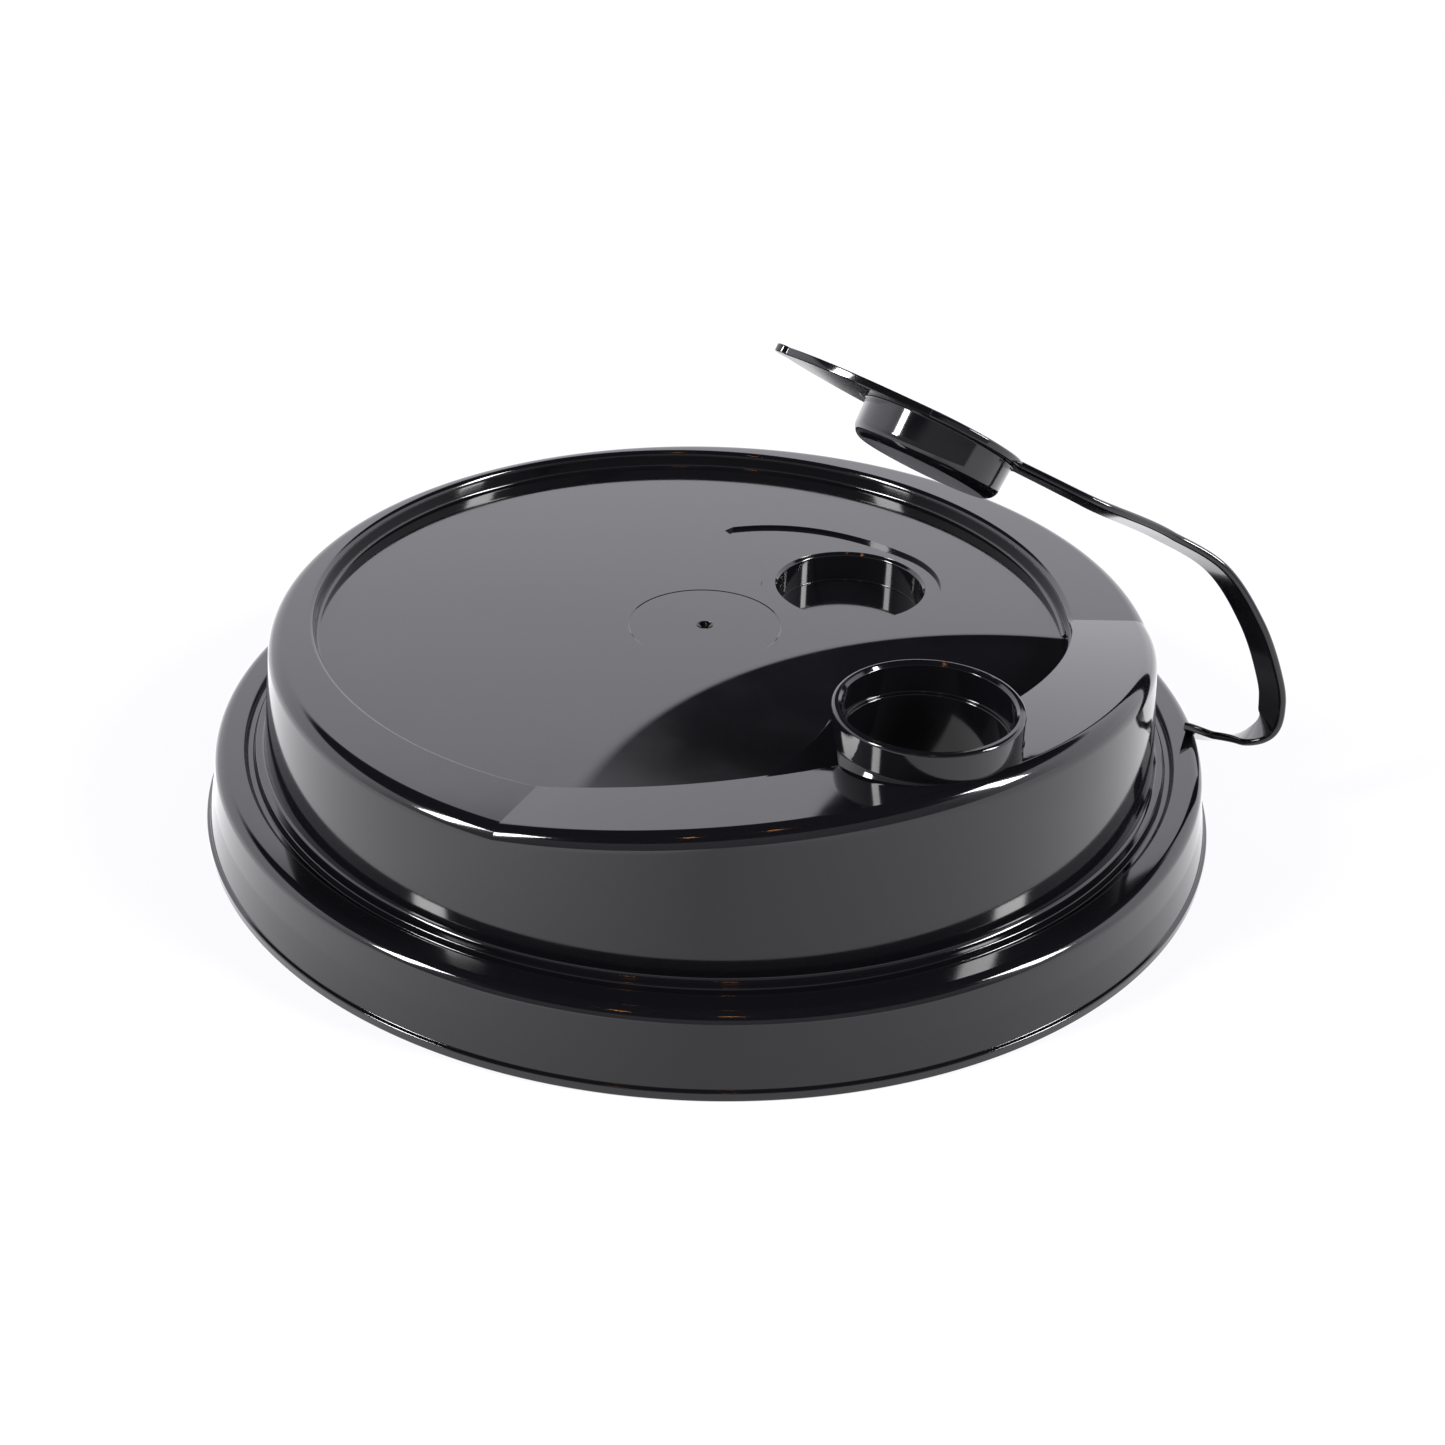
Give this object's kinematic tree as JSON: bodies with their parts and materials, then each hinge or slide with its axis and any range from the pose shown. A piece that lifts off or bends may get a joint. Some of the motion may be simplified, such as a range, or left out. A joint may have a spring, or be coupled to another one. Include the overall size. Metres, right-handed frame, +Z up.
{
  "type": "coffee cup lid",
  "caption": "Moulded takeaway cup lid with a raised dome, sunk deck, round drinking spout, parking pocket and a stopper on a strap.",
  "frame": {"origin": "middle of the bounding box at the level of the skirt's bottom edge; the dome's axis stands 3.02 mm to -X of it", "axes": "+Z up along the dome's axis, +X towards the side where the strap leaves the rim, the drinking spout towards -Y and a little +X"},
  "size_m": [0.1, 0.094, 0.0441],
  "materials": {
    "black_plastic": "gloss"
  },
  "bodies": {
    "root": {"lid": "black_plastic"}
  },
  "joints": []
}
